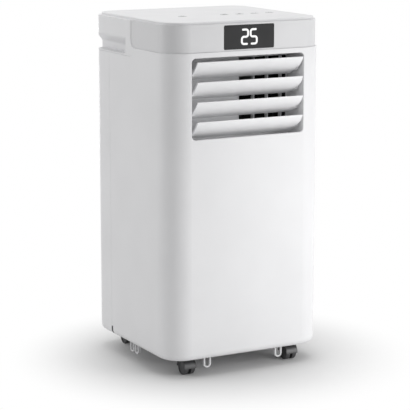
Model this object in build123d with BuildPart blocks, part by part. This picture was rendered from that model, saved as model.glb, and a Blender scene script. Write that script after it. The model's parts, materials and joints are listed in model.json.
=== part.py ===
from build123d import *
import os
from math import cos, pi, radians, sin

# Portable air conditioner on four castors: a moulded cabinet round a refrigeration circuit.
# Millimetres, +Z up, the front faces -Y, and the origin is on the floor under the middle.

os.makedirs("parts", exist_ok=True)

# Overall size
width = 353.0
depth = 350.0
height = 705.0

# The layout was drawn for this cabinet, and its places keep their shares when the cabinet changes
drawn_width = 353.0
drawn_depth = 350.0
drawn_height = 705.0
spread = width / drawn_width
reach = depth / drawn_depth
rise = height / drawn_height

# Cabinet skins
wall = 2.5
seam = 0.4
fit = 0.3
front_corner = 50.0 * spread
rear_corner = 45.0 * spread
louvre_proud = 4.0
skirt_z = 36.0
skirt_round = 12.0
skirt_lip = 10.0
rear_skirt_lip = 16.0
seam_y = 90.0 * reach
pry_width = 3.5
pry_height = 18.0

# Top of the cabinet
lid_thickness = 5.0
lid_inset = 7.0
lid_round = 1.8
lid_rib_depth = 5.0
rim_width = 14.0
band_height = 54.0
band_lap = 5.5
band_corner = 12.0
display_x = 2.0 * spread
display_width = 112.0 * spread
display_height = 47.0
display_thickness = 3.0
display_radius = 3.0
display_tab = 4.0
led_block_depth = 6.0

# Carry handles in the rear top corners
handle_front_y = -7.0 * reach
handle_drop = 17.5
grip_front_y = 14.0 * reach
grip_depth = 22.0
grip_lip = 36.0
grip_slope = 18.0
grip_round = 9.0

# Press keys in the lid
key_proud = 0.8
key_length = 18.0
key_width = 10.0
key_gap = 0.35
key_flange = 2.0
key_flange_thickness = 1.5
key_stem_radius = 2.0
key_stem_length = 2.5
key_travel = 1.0
key_row_y = -36.0 * reach
power_key_x = -75.0 * spread
first_key_x = 20.0 * spread
key_pitch = 35.0 * spread
board_thickness = 1.6
switch_size = 6.0
switch_height = 3.0
board_margin = 14.0
post_radius = 3.0

# Air outlet and louvres
opening_width = 250.0 * spread
opening_height = 158.0
opening_top_gap = 10.0
opening_radius = 8.0
lip_round = 1.8
duct_depth = 66.0
duct_drop = 22.0
louvre_count = 4
driven_louvre = 1
louvre_pitch = 38.6
louvre_top_gap = 7.5
louvre_radius = 77.0
louvre_start = 210.5
louvre_arc = 55.0
louvre_thickness = 3.0
louvre_edge_round = 1.44
louvre_boss_radius = 3.0
louvre_boss_length = 5.0
pin_radius = 2.0
crank_radius = 2.0
crank_angle = 51.0
running_gap = 0.08
link_room = 10.0
end_room = 3.5
link_width = 9.0
link_thickness = 3.5
grille_left_x = 11.0 * spread
grille_fin_offset = 37.0 * spread
grille_fin_pitch = 31.5 * spread
grille_fin_count = 3
grille_fin_thickness = 2.0
grille_depth = 10.0
grille_frame_depth = 3.0
grille_margin = 15.0
guard_bar = 2.0
guard_bar_count = 4
swing_motor_radius = 12.0
swing_motor_length = 17.0
swing_motor_ear = 9.0
swing_motor_plate = 2.0
shaft_reach = 9.0

# Rear of the cabinet
window_width = 260.0 * spread
window_rim = 9.0
upper_window_z = 425.0 * rise
upper_window_height = 186.0 * rise
lower_window_z = 88.0 * rise
lower_window_height = 156.0 * rise
window_radius = 6.0
grille_gap = 1.2
grille_frame = 8.0
grille_thickness = 5.5
slat_pitch = 8.6
slat_thickness = 2.0
slat_depth = 4.95
slat_tilt = 30.0
grille_rib_count = 3
hinge_radius = 2.0
hinge_height = 4.0
hinge_edge_round = 2.5
notch_width = 44.0
seat_tab_length = 52.0 * rise
filter_thickness = 4.0
filter_margin = 8.0
filter_frame = 6.0
filter_mesh = 0.8
filter_rib_count = 5
port_x = 60.0 * spread
port_drop = 76.0
port_radius = 66.0
port_wall = 3.0
port_length = 36.0
port_flange = 4.0
port_flange_thickness = 2.0
guard_slot = 9.0
guard_slot_pitch = 15.0
guard_slot_count = 7
exhaust_round = 9.0
gland_x = -105.0 * spread
gland_z = 268.0 * rise
gland_radius = 8.0
gland_bore = 4.0
gland_flange = 3.5
gland_length = 12.0
screw_boss_radius = 6.5
screw_boss_length = 9.0
screw_head_radius = 4.0
screw_head_height = 2.6
screw_radius = 2.0
screw_sink = 4.5
screw_side_x = -118.0 * spread
screw_low_z = 300.0 * rise
screw_mid_z = 380.0 * rise
screw_top_x = 60.0 * spread
screw_top_z = 655.0 * rise

# Base pan
basin_z = 46.0
basin_inset = 30.0
basin_floor = 3.0
flange_z = 66.0
pan_rim = 14.0
drain_x = -84.0 * spread
drain_z = 56.0
drain_radius = 7.0
drain_bore = 4.5
drain_reach = 25.0
drain_access = 9.0
plug_head = 2.0
plug_depth = 14.0
loop_width = 16.0
loop_wire = 3.0
loop_depth = 5.0
loop_foot_z = 16.0
front_loop_left_x = -86.0 * spread
front_loop_right_x = 78.0 * spread
side_loop_y = 6.0 * reach
side_loop_pitch = 22.0

# Castors
castor_x = 118.0 * spread
castor_y = 120.0 * reach
castor_trail = 12.0
wheel_radius = 15.0
wheel_width = 9.4
wheel_round = 2.5
wheel_dish = 1.5
wheel_rim = 4.0
web_thickness = 5.0
wheel_side_gap = 0.5
axle_radius = 2.5
hood_gap = 1.0
hood_thickness = 1.8
stem_radius = 4.0
stem_boss_radius = 8.0
socket_radius = 8.0
socket_height = 14.0

# Deck between the cold and the hot half
deck_z = 406.0 * rise
deck_rim = 11.0
column_size = 14.0
column_thickness = 1.5
column_inset = 18.0 * spread
column_front_y = -75.0 * reach
column_rear_y = 82.0 * reach
pipe_hole = 3.0

# Fans, scroll housings and motors
scroll_front_y = 20.0 * reach
scroll_width = 88.0 * reach
scroll_gap = 8.0
scroll_step = 8.0
fan_blade_count = 32
fan_blade_length = 10.0
fan_blade_thickness = 1.2
fan_blade_angle = 35.0
fan_plate = 2.0
fan_side_gap = 8.0
fan_hub_radius = 13.0
fan_shaft_radius = 4.0
shaft_hole = 14.0
cold_fan_radius = 72.0 * rise
cold_fan_x = -40.0 * spread
cold_fan_z = 512.0 * rise
cold_outlet = 88.0 * rise
hot_fan_radius = 66.0 * rise
hot_fan_x = 40.0 * spread
hot_fan_z = 160.0 * rise
hot_outlet = 80.0 * rise
motor_radius = 40.0
motor_length = 48.0 * reach
motor_round = 6.0
motor_flange = 8.0
motor_plate = 3.0
shaft_depth = 38.4 * reach
eye_share = 0.76
foot_width = 60.0
foot_depth = 24.0
hood_wall = 2.0

# Heat exchangers
coil_width = 268.0 * spread
coil_plate = 2.0
coil_tube_radius = 4.0
coil_bend_count = 4
coil_bend_span = 20.0
cold_coil_y = 116.0 * reach
cold_coil_depth = 36.0 * reach
cold_coil_height = 188.0 * rise
cold_coil_foot = 14.0
hot_coil_y = 118.0 * reach
hot_coil_depth = 42.0 * reach
hot_coil_gap = 6.5

# Refrigeration circuit
compressor_x = -68.0 * spread
compressor_y = -62.0 * reach
compressor_radius = 55.0 * reach
compressor_height = 205.0 * rise
compressor_dome = 24.0
foot_radius = 62.0 * reach
foot_lobe = 13.0
foot_plate = 3.0
stud_radius = 3.0
stud_height = 17.0
grommet_radius = 10.0
grommet_height = 12.0
tank_gap = 4.0
tank_radius = 24.0 * reach
tank_z = 100.0 * rise
tank_height = 130.0 * rise
tank_strap = 30.0
pipe_radius = 4.0
pipe_bore = 3.0
pipe_bend = 18.0
hot_pipe_offset = 20.0
hot_pipe_z = 300.0 * rise
cold_pipe_x = -122.0 * spread
cold_pipe_z = 350.0 * rise
liquid_pipe_x = -60.0 * spread
drier_radius = 9.0
drier_length = 60.0
drier_taper = 4.0

# Electrics and condensate pump
box_x = 24.0 * spread
box_y = -140.0 * reach
box_width = 84.0 * spread
box_depth = 44.0 * reach
box_z = 84.0
box_height = 240.0 * rise
box_foot = 16.0
board_gap = 6.0
capacitor_radius = 14.0
relay_width = 42.0
relay_height = 21.0
transformer_size = 42.0
component_depth = 22.0 * reach
component_pitch = 60.0 * rise
pump_x = 112.0 * spread
pump_y = -40.0 * reach
pump_radius = 22.0 * reach
pump_height = 56.0
pump_round = 6.0
pump_outlet = 22.0

# Places worked out from the sizes above
side_x = width / 2
tip_y = louvre_thickness / 4 - depth / 2
front_y = louvre_proud - depth / 2
rear_y = depth / 2
seat_inset = wall + fit
lid_top_z = height - key_proud
rim_z = lid_top_z - lid_thickness
band_z = rim_z - band_height
handle_z = band_z - handle_drop
handle_inner = grip_depth + wall
display_z = (band_z + rim_z) / 2
opening_top_z = band_z - opening_top_gap
opening_z = opening_top_z - opening_height / 2
opening_bottom_z = opening_top_z - opening_height
duct_front_y = front_y + wall + fit
duct_back_y = tip_y + duct_depth
duct_top_z = opening_top_z
duct_floor_z = opening_bottom_z - duct_drop
duct_x = opening_width / 2
port_z = deck_z - port_drop
louvre_left_x = link_room - duct_x
louvre_right_x = duct_x - end_room
louvre_top_z = opening_top_z - louvre_top_gap


def level(z):
    """Horizontal plane at height z."""
    return Plane.XY.offset(z)


def upright(y):
    """Plane across the cabinet at y. Local x is X, local y is Z, and the normal points to the front."""
    return Plane.XZ.offset(-y)


def sideways(x):
    """Plane along the cabinet at x. Local x is Y, local y is Z, and the normal points to +X."""
    return Plane.YZ.offset(x)


def cabinet_plan(inset):
    """Plan outline of the cabinet, drawn inset from its outer skin."""
    with BuildSketch() as plan:
        with Locations((0, (front_y + rear_y) / 2)):
            Rectangle(width - 2 * inset, rear_y - front_y - 2 * inset)
        fillet(plan.vertices().group_by(Axis.Y)[0], front_corner - inset)
        fillet(plan.vertices().group_by(Axis.Y)[-1], rear_corner - inset)
    return plan.sketch


def cabinet_ring(outer_inset, inner_inset):
    """Plan of a wall that follows the cabinet between two insets."""
    with BuildSketch() as ring:
        add(cabinet_plan(outer_inset))
        add(cabinet_plan(inner_inset), mode=Mode.SUBTRACT)
    return ring.sketch


def save(piece, name):
    """Label a finished piece and write it."""
    piece.part.label = name
    export_step(piece.part, f"parts/{name}.step")


# Cabinet skins

with BuildPart() as front_shell:
    with BuildSketch(level(skirt_z)):
        add(cabinet_plan(0))
    extrude(amount=band_z + band_corner - skirt_z)
    fillet(front_shell.edges().group_by(Axis.Z)[0], skirt_round)
    offset(amount=-wall, openings=front_shell.faces().sort_by(Axis.Z)[-1])
    # Louvre opening with a softened lip
    with BuildSketch(upright(front_y)):
        with Locations((0, opening_z)):
            RectangleRounded(opening_width, opening_height, opening_radius)
    extrude(amount=2 * wall, both=True, mode=Mode.SUBTRACT)
    fillet(front_shell.faces().sort_by(Axis.Y)[0].inner_wires()[0].edges(), lip_round)
    with BuildSketch(level(skirt_z)):
        add(cabinet_plan(skirt_lip))
    extrude(amount=2 * wall, mode=Mode.SUBTRACT)
    split(bisect_by=upright(seam_y - seam / 2), keep=Keep.TOP)
    # Slots at the foot of the side seams, where the two skins are pried apart
    with BuildSketch(level(skirt_z)):
        with Locations((0, seam_y)):
            Rectangle(2 * width, pry_width, align=(Align.CENTER, Align.MAX))
    extrude(amount=pry_height, mode=Mode.SUBTRACT)
    # The top edge drops under the handles, and sweeps up to them behind the top band
    with BuildSketch(level(handle_z - seam)):
        with Locations((0, handle_front_y)):
            Rectangle(2 * width, depth, align=(Align.CENTER, Align.MIN))
    extrude(amount=height, mode=Mode.SUBTRACT)
    with BuildSketch(sideways(0)) as band_step:
        with Locations((handle_front_y - wall / 2, band_z)):
            Rectangle(depth, height, align=(Align.MAX, Align.MIN))
        fillet(band_step.vertices().group_by(Axis.Y)[0].sort_by(Axis.X)[-1], band_corner)
    extrude(amount=width, both=True, mode=Mode.SUBTRACT)
save(front_shell, "front_shell")

window_depth = wall + window_rim
hinge_y = rear_y - grille_thickness / 2
hinge_z = upper_window_z + hinge_height
screw_places = [
    (screw_side_x, screw_low_z),
    (screw_side_x, screw_mid_z),
    (-screw_top_x, screw_top_z),
    (screw_top_x, screw_top_z),
]

with BuildPart() as rear_cover:
    with BuildSketch(level(skirt_z)):
        add(cabinet_plan(0))
    extrude(amount=rim_z - skirt_z)
    fillet(rear_cover.edges().group_by(Axis.Z)[0], skirt_round)
    offset(amount=-wall, openings=rear_cover.faces().sort_by(Axis.Z)[-1])
    with BuildSketch(level(skirt_z)):
        add(cabinet_plan(rear_skirt_lip))
    extrude(amount=rear_skirt_lip, mode=Mode.SUBTRACT)
    # Rim under the lid
    with BuildSketch(level(rim_z)):
        add(cabinet_ring(wall, rim_width))
    extrude(amount=-wall)
    split(bisect_by=upright(seam_y + seam / 2), keep=Keep.BOTTOM)
    # The handles take the top corners
    with BuildSketch(level(handle_z - seam)):
        Rectangle(2 * width, 2 * depth)
        Rectangle(2 * (side_x - handle_inner - seam), 2 * depth, mode=Mode.SUBTRACT)
        with Locations((0, rear_y - rim_width)):
            Rectangle(2 * width, 2 * depth, align=(Align.CENTER, Align.MAX))
    extrude(amount=height, mode=Mode.SUBTRACT)
    # Rims that frame the two air windows
    for window_z, window_height in (
        (upper_window_z, upper_window_height),
        (lower_window_z, lower_window_height),
    ):
        with BuildSketch(upright(rear_y - wall)):
            with Locations((0, window_z + window_height / 2)):
                RectangleRounded(window_width + 2 * wall, window_height + 2 * wall, window_radius)
        extrude(amount=window_rim)
        with BuildSketch(upright(rear_y)):
            with Locations((0, window_z + window_height / 2)):
                Rectangle(window_width, window_height)
        extrude(amount=window_depth, mode=Mode.SUBTRACT)
    with BuildSketch(sideways(0)):
        with Locations((hinge_y, hinge_z)):
            Circle(hinge_radius + running_gap)
    extrude(amount=window_width / 2 + wall, both=True, mode=Mode.SUBTRACT)
    # Screw bosses, exhaust port, cord gland and drain access
    with BuildSketch(upright(rear_y - wall)):
        with Locations(*screw_places):
            Circle(screw_boss_radius)
    extrude(amount=screw_boss_length)
    with BuildSketch(upright(rear_y)):
        with Locations(*screw_places):
            Circle(screw_head_radius + fit)
    extrude(amount=screw_sink, mode=Mode.SUBTRACT)
    with BuildSketch(upright(rear_y)):
        with Locations(*screw_places):
            Circle(screw_radius + fit)
        with Locations((port_x, port_z)):
            Circle(port_radius + port_wall + fit)
        with Locations((gland_x, gland_z)):
            Circle(gland_radius + fit)
        with Locations((drain_x, drain_z)):
            Circle(drain_radius + drain_access)
    extrude(amount=rear_skirt_lip, mode=Mode.SUBTRACT)
save(rear_cover, "rear_cover")

with BuildPart() as top_band:
    with BuildSketch(level(band_z - band_lap)):
        add(cabinet_ring(seat_inset, seat_inset + wall))
    extrude(amount=rim_z - band_z + band_lap)
    with BuildSketch(level(rim_z)):
        add(cabinet_ring(seat_inset, rim_width))
    extrude(amount=-wall)
    split(bisect_by=upright(handle_front_y - seam), keep=Keep.TOP)
    with BuildSketch(upright(front_y + seat_inset)):
        with Locations((display_x, display_z)):
            RectangleRounded(display_width + 2 * fit, display_height + 2 * fit, display_radius)
    extrude(amount=2 * wall, both=True, mode=Mode.SUBTRACT)
save(top_band, "top_band")

# Carry handles: a grip groove that runs out at the rear corner, under a rounded lip

grip_top_z = rim_z - grip_lip
grip_floor_z = handle_z + wall

with BuildPart() as grip_groove:
    with BuildSketch(upright(rear_y + wall)) as grip_profile:
        with BuildLine():
            Polyline(
                (-side_x - grip_round, grip_floor_z),
                (-side_x + grip_depth, grip_floor_z),
                (-side_x + grip_depth, grip_top_z - grip_slope),
                (-side_x, grip_top_z),
                (-side_x, grip_top_z + grip_round),
                (-side_x - grip_round, grip_top_z + grip_round),
                close=True,
            )
        make_face()
        fillet(grip_profile.vertices().group_by(Axis.X)[1].sort_by(Axis.Y)[0], grip_round)
        fillet(grip_profile.vertices().group_by(Axis.X)[-1].sort_by(Axis.Y)[-1], grip_round)
    extrude(amount=rear_y + wall - grip_front_y)
    with BuildSketch(sideways(-side_x - grip_round)) as grip_outline:
        with Locations((grip_front_y, grip_floor_z)):
            Rectangle(depth, grip_top_z + grip_round - grip_floor_z, align=(Align.MIN, Align.MIN))
        fillet(grip_outline.vertices().group_by(Axis.X)[0], grip_round)
    extrude(amount=grip_depth + 2 * grip_round, mode=Mode.INTERSECT)

with BuildPart() as left_handle:
    with BuildSketch(level(handle_z)):
        add(cabinet_plan(0))
        with Locations((handle_inner - side_x, handle_front_y)):
            Rectangle(width, depth, align=(Align.MAX, Align.MIN), mode=Mode.INTERSECT)
    extrude(amount=rim_z - handle_z)
    # Hollow above the grip, open to the inside of the cabinet
    with BuildSketch(level(grip_top_z + wall)):
        add(cabinet_plan(wall))
        with Locations((handle_inner - side_x, handle_front_y + wall)):
            Rectangle(width, depth, align=(Align.MAX, Align.MIN), mode=Mode.INTERSECT)
    extrude(amount=rim_z - grip_top_z - 2 * wall, mode=Mode.SUBTRACT)
    add(grip_groove.part, mode=Mode.SUBTRACT)
save(left_handle, "left_handle")

with BuildPart() as right_handle:
    mirror(left_handle.part, about=Plane.YZ)
save(right_handle, "right_handle")

# Lid with its keys, and the boards behind the keys and the display

key_names = ["power", "mode", "fan", "down", "up"]
key_row = [power_key_x] + [first_key_x + key_pitch * index for index in range(len(key_names) - 1)]
key_places = [(x, key_row_y) for x in key_row]
key_flange_z = rim_z - fit - key_flange_thickness
key_stem_z = key_flange_z - key_stem_length
switch_top_z = key_stem_z - key_travel - fit
board_z = switch_top_z - switch_height - board_thickness
board_mid_x = (key_row[0] + key_row[-1]) / 2
board_length = key_row[-1] - key_row[0] + key_length + 2 * board_margin
board_width = key_width + 2 * board_margin
post_x = board_length / 2 - 2 * post_radius
post_y = board_width / 2 - 2 * post_radius

with BuildPart() as top_lid:
    with BuildSketch(level(rim_z)):
        add(cabinet_plan(lid_inset))
    extrude(amount=lid_thickness)
    fillet(top_lid.edges().group_by(Axis.Z)[-1], lid_round)
    # Locating rib inside the band's rim, and posts for the key board
    with BuildSketch(level(rim_z)):
        add(cabinet_ring(rim_width + fit, rim_width + fit + wall))
        with Locations((0, handle_front_y - wall)):
            Rectangle(width, depth, align=(Align.CENTER, Align.MAX), mode=Mode.INTERSECT)
    extrude(amount=-lid_rib_depth)
    with BuildSketch(level(rim_z)):
        with Locations((board_mid_x, key_row_y)):
            with GridLocations(2 * post_x, 2 * post_y, 2, 2):
                Circle(post_radius)
    extrude(amount=board_z + board_thickness - rim_z)
    with BuildSketch(level(rim_z)):
        with Locations(*key_places):
            SlotOverall(key_length + 2 * key_gap, key_width + 2 * key_gap)
    extrude(amount=lid_thickness, mode=Mode.SUBTRACT)
save(top_lid, "top_lid")

for key_name, key_place in zip(key_names, key_places):
    with BuildPart() as key:
        with BuildSketch(level(key_flange_z)):
            with Locations(key_place):
                SlotOverall(key_length, key_width)
        extrude(amount=height - key_flange_z)
        fillet(key.edges().group_by(Axis.Z)[-1], key_proud / 2)
        with BuildSketch(level(key_flange_z)):
            with Locations(key_place):
                SlotOverall(key_length + 2 * key_flange, key_width + 2 * key_flange)
        extrude(amount=key_flange_thickness)
        with BuildSketch(level(key_flange_z)):
            with Locations(key_place):
                Circle(key_stem_radius)
        extrude(amount=-key_stem_length)
    save(key, f"key_{key_name}")

with BuildPart() as key_board:
    with BuildSketch(level(board_z)):
        with Locations((board_mid_x, key_row_y)):
            RectangleRounded(board_length, board_width, board_thickness)
    extrude(amount=board_thickness)
    with BuildSketch(level(board_z + board_thickness)):
        with Locations(*key_places):
            Rectangle(switch_size, switch_size)
    extrude(amount=switch_height)
save(key_board, "key_board")

display_front_y = front_y + seat_inset
display_back_y = display_front_y + display_thickness + wall

with BuildPart() as display_window:
    with BuildSketch(upright(display_front_y)):
        with Locations((display_x, display_z)):
            RectangleRounded(display_width, display_height, display_radius)
    extrude(amount=-display_thickness)
    # Side tabs behind the band hold the window in its hole
    with BuildSketch(upright(display_front_y + display_thickness)):
        with Locations((display_x, display_z)):
            Rectangle(display_width + 2 * display_tab, display_height - 2 * display_tab)
    extrude(amount=-wall)
save(display_window, "display_window")

with BuildPart() as display_board:
    with BuildSketch(upright(display_back_y + fit)):
        with Locations((display_x, display_z)):
            Rectangle(display_width / 2, display_height - 2 * display_tab)
    extrude(amount=-led_block_depth)
    with BuildSketch(upright(display_back_y + fit + led_block_depth)):
        with Locations((display_x, display_z)):
            Rectangle(display_width - 2 * display_tab, display_height - display_tab)
    extrude(amount=-board_thickness)
save(display_board, "display_board")

# Air outlet: duct, off-centre grille, four curved louvres on one link, and the swing motor

grille_right_x = duct_x
grille_floor_z = duct_floor_z + grille_margin
grille_top_z = duct_top_z - grille_margin / 2
grille_mid = ((grille_left_x + grille_right_x) / 2, (grille_floor_z + grille_top_z) / 2)
grille_width = grille_right_x - grille_left_x
grille_height = grille_top_z - grille_floor_z
louvre_tips = [louvre_top_z - louvre_pitch * index for index in range(louvre_count)]


def on_louvre(tip_z, angle):
    """Point on a louvre's mid line, at an angle along its arc from the front tip."""
    start = radians(louvre_start)
    turned = radians(louvre_start + angle)
    y = tip_y + louvre_radius * (cos(turned) - cos(start))
    z = tip_z + louvre_radius * (sin(turned) - sin(start))
    return (y, z)


pivots = [on_louvre(tip_z, louvre_arc / 2) for tip_z in louvre_tips]
cranks = [on_louvre(tip_z, crank_angle) for tip_z in louvre_tips]

duct_mid_z = (duct_top_z + duct_floor_z) / 2
duct_height = duct_top_z - duct_floor_z
duct_length = duct_back_y - duct_front_y

with BuildPart() as outlet_duct:
    with BuildSketch(upright(duct_front_y)):
        with Locations((0, duct_mid_z)):
            RectangleRounded(opening_width + 2 * wall, duct_height + 2 * wall, opening_radius + wall)
    extrude(amount=-duct_length - wall)
    with BuildSketch(upright(duct_front_y)):
        with Locations((0, duct_mid_z)):
            RectangleRounded(opening_width, duct_height, opening_radius)
    extrude(amount=-duct_length, mode=Mode.SUBTRACT)
    with BuildSketch(upright(duct_back_y)):
        with Locations(grille_mid):
            Rectangle(grille_width, grille_height)
    extrude(amount=-wall, mode=Mode.SUBTRACT)
    with BuildSketch(sideways(0)):
        with Locations(*pivots):
            Circle(pin_radius + running_gap)
    extrude(amount=duct_x + wall, both=True, mode=Mode.SUBTRACT)
save(outlet_duct, "outlet_duct")

for index, tip_z in enumerate(louvre_tips):
    right_reach = duct_x + wall
    if index == driven_louvre:
        right_reach += fit + shaft_reach
    with BuildPart() as louvre:
        with BuildSketch(sideways(louvre_left_x)) as blade:
            with BuildLine():
                ThreePointArc((tip_y, tip_z), pivots[index], on_louvre(tip_z, louvre_arc))
            trace(line_width=louvre_thickness)
            fillet(blade.vertices(), louvre_edge_round)
        extrude(amount=louvre_right_x - louvre_left_x)
        for end_x, inward in ((louvre_left_x, 1), (louvre_right_x, -1)):
            with BuildSketch(sideways(end_x)):
                with Locations(pivots[index]):
                    Circle(louvre_boss_radius)
            extrude(amount=inward * louvre_boss_length)
        with BuildSketch(sideways(louvre_left_x)):
            with Locations(pivots[index]):
                Circle(pin_radius)
        extrude(amount=-duct_x - wall - louvre_left_x)
        with BuildSketch(sideways(louvre_right_x)):
            with Locations(pivots[index]):
                Circle(pin_radius)
        extrude(amount=right_reach - louvre_right_x)
        # Crank pin for the link
        with BuildSketch(sideways(louvre_left_x)):
            with Locations(cranks[index]):
                Circle(crank_radius)
        extrude(amount=-2 * fit - link_thickness)
    save(louvre, f"louvre_{index + 1}")

link_mid = ((cranks[0][0] + cranks[-1][0]) / 2, (cranks[0][1] + cranks[-1][1]) / 2)

with BuildPart() as louvre_link:
    with BuildSketch(sideways(louvre_left_x - fit)):
        with Locations(link_mid):
            SlotCenterToCenter(cranks[0][1] - cranks[-1][1], link_width, rotation=90)
        with Locations(*cranks):
            Circle(crank_radius + 2 * running_gap, mode=Mode.SUBTRACT)
    extrude(amount=-link_thickness)
save(louvre_link, "louvre_link")

motor_seat_x = duct_x + wall + fit

with BuildPart() as swing_motor:
    with BuildSketch(sideways(motor_seat_x)):
        with Locations(pivots[driven_louvre]):
            Circle(swing_motor_radius)
            SlotCenterToCenter(2 * (swing_motor_radius + swing_motor_ear / 2), swing_motor_ear, rotation=90)
            Circle(pin_radius + running_gap, mode=Mode.SUBTRACT)
    extrude(amount=swing_motor_plate)
    with BuildSketch(sideways(motor_seat_x + swing_motor_plate)):
        with Locations(pivots[driven_louvre]):
            Circle(swing_motor_radius)
    extrude(amount=swing_motor_length - swing_motor_plate)
    with BuildSketch(sideways(motor_seat_x)):
        with Locations(pivots[driven_louvre]):
            Circle(pin_radius + running_gap)
    extrude(amount=shaft_reach + fit, mode=Mode.SUBTRACT)
save(swing_motor, "swing_motor")

with BuildPart() as outlet_grille:
    with BuildSketch(upright(duct_back_y)):
        with Locations(grille_mid):
            Rectangle(grille_width - 2 * fit, grille_height - 2 * fit)
            Rectangle(grille_width - 2 * wall, grille_height - 2 * wall, mode=Mode.SUBTRACT)
    extrude(amount=-grille_frame_depth)
    with BuildSketch(upright(duct_back_y)):
        for index in range(grille_fin_count):
            fin_x = grille_left_x + grille_fin_offset + grille_fin_pitch * index
            with Locations((fin_x, grille_mid[1])):
                Rectangle(grille_fin_thickness, grille_height - wall)
    extrude(amount=-grille_depth)
    with BuildSketch(upright(duct_back_y + guard_bar)):
        with Locations(grille_mid):
            with GridLocations(0, grille_height / guard_bar_count, 1, guard_bar_count):
                Rectangle(grille_width - wall, guard_bar)
    extrude(amount=-guard_bar)
save(outlet_grille, "outlet_grille")

# Fans, scroll housings and motors of the two air streams

scroll_back_y = scroll_front_y + scroll_width
motor_back_y = scroll_front_y


def cold_place(along, out):
    """Cold scroll: its outlet runs to +X along the top."""
    return (cold_fan_x + along, cold_fan_z + out)


def hot_place(along, out):
    """Hot scroll: its outlet runs up along the right."""
    return (hot_fan_x + out, hot_fan_z + along)


def scroll_plan(place, fan_radius, outlet_end, outlet_height, inset):
    """Volute of three quarter arcs that widen towards a straight outlet, drawn inset from its skin."""
    first = fan_radius + scroll_gap - inset
    second = first + scroll_step
    third = second + scroll_step
    slant = cos(pi / 4)
    top = scroll_step + third
    tongue = scroll_step + third + inset - outlet_height + inset
    with BuildSketch() as plan:
        with BuildLine():
            ThreePointArc(place(first, 0), place(first * slant, -first * slant), place(0, -first))
            ThreePointArc(
                place(0, -first),
                place(-second * slant, scroll_step - second * slant),
                place(-second, scroll_step),
            )
            ThreePointArc(
                place(-second, scroll_step),
                place(scroll_step - third * slant, scroll_step + third * slant),
                place(scroll_step, top),
            )
            Polyline(
                place(scroll_step, top),
                place(outlet_end, top),
                place(outlet_end, tongue),
                place(first, tongue),
                place(first, 0),
            )
        make_face()
    return plan.sketch


def scroll_top(fan_radius):
    """Distance from the fan's axis to the outer wall of its outlet."""
    return fan_radius + scroll_gap + 3 * scroll_step


cold_outlet_end = duct_x + wall - cold_fan_x
cold_tongue_x = cold_fan_x + cold_fan_radius + scroll_gap
cold_top_z = cold_fan_z + scroll_top(cold_fan_radius)
cold_tongue_z = cold_top_z - cold_outlet
hood_window_left = cold_tongue_x + 2 * wall
hood_window_right = duct_x - wall
hood_window_floor = cold_tongue_z + 2 * wall
hood_window_top = cold_top_z - 2 * wall
hood_window_mid = (
    (hood_window_left + hood_window_right) / 2,
    (hood_window_floor + hood_window_top) / 2,
)
hood_window_width = hood_window_right - hood_window_left
hood_window_height = hood_window_top - hood_window_floor
deck_top_z = deck_z + wall

with BuildPart() as cold_scroll:
    with BuildSketch(upright(scroll_front_y)):
        add(scroll_plan(cold_place, cold_fan_radius, cold_outlet_end, cold_outlet, 0))
    extrude(amount=-scroll_width)
    # Foot on the deck
    with BuildSketch(level(deck_top_z)):
        with Locations((cold_fan_x, scroll_front_y + scroll_width / 2)):
            Rectangle(foot_width, foot_depth)
    extrude(amount=cold_fan_z - cold_fan_radius - deck_top_z)
    with BuildSketch(upright(scroll_front_y + wall)):
        add(scroll_plan(cold_place, cold_fan_radius, cold_outlet_end - wall, cold_outlet, wall))
    extrude(amount=2 * wall - scroll_width, mode=Mode.SUBTRACT)
    with BuildSketch(upright(scroll_back_y)):
        with Locations((cold_fan_x, cold_fan_z)):
            Circle(eye_share * cold_fan_radius)
    extrude(amount=wall, mode=Mode.SUBTRACT)
    with BuildSketch(upright(scroll_front_y)):
        with Locations((cold_fan_x, cold_fan_z)):
            Circle(shaft_hole)
        with Locations(hood_window_mid):
            Rectangle(hood_window_width, hood_window_height)
    extrude(amount=-wall, mode=Mode.SUBTRACT)
save(cold_scroll, "cold_scroll")

duct_z = port_z - port_radius - port_wall
duct_roof_z = port_z + port_radius + port_wall
hot_outlet_x = hot_fan_x + scroll_top(hot_fan_radius)

with BuildPart() as hot_scroll:
    with BuildSketch(upright(scroll_front_y)):
        add(scroll_plan(hot_place, hot_fan_radius, duct_z - hot_fan_z, hot_outlet, 0))
    extrude(amount=-scroll_width)
    # Foot in the basin
    with BuildSketch(level(basin_z + basin_floor)):
        with Locations((hot_fan_x, scroll_front_y + scroll_width / 2)):
            Rectangle(foot_width, foot_depth)
    extrude(amount=hot_fan_z - hot_fan_radius - basin_z - basin_floor)
    with BuildSketch(upright(scroll_front_y + wall)):
        add(scroll_plan(hot_place, hot_fan_radius, duct_z - hot_fan_z, hot_outlet, wall))
    extrude(amount=2 * wall - scroll_width, mode=Mode.SUBTRACT)
    with BuildSketch(upright(scroll_back_y)):
        with Locations((hot_fan_x, hot_fan_z)):
            Circle(eye_share * hot_fan_radius)
    extrude(amount=wall, mode=Mode.SUBTRACT)
    with BuildSketch(upright(scroll_front_y)):
        with Locations((hot_fan_x, hot_fan_z)):
            Circle(shaft_hole)
    extrude(amount=-wall, mode=Mode.SUBTRACT)
save(hot_scroll, "hot_scroll")

fan_front_y = scroll_front_y + wall + fan_side_gap
fan_back_y = scroll_back_y - wall - fan_side_gap
shaft_front_y = motor_back_y - shaft_depth

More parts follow.
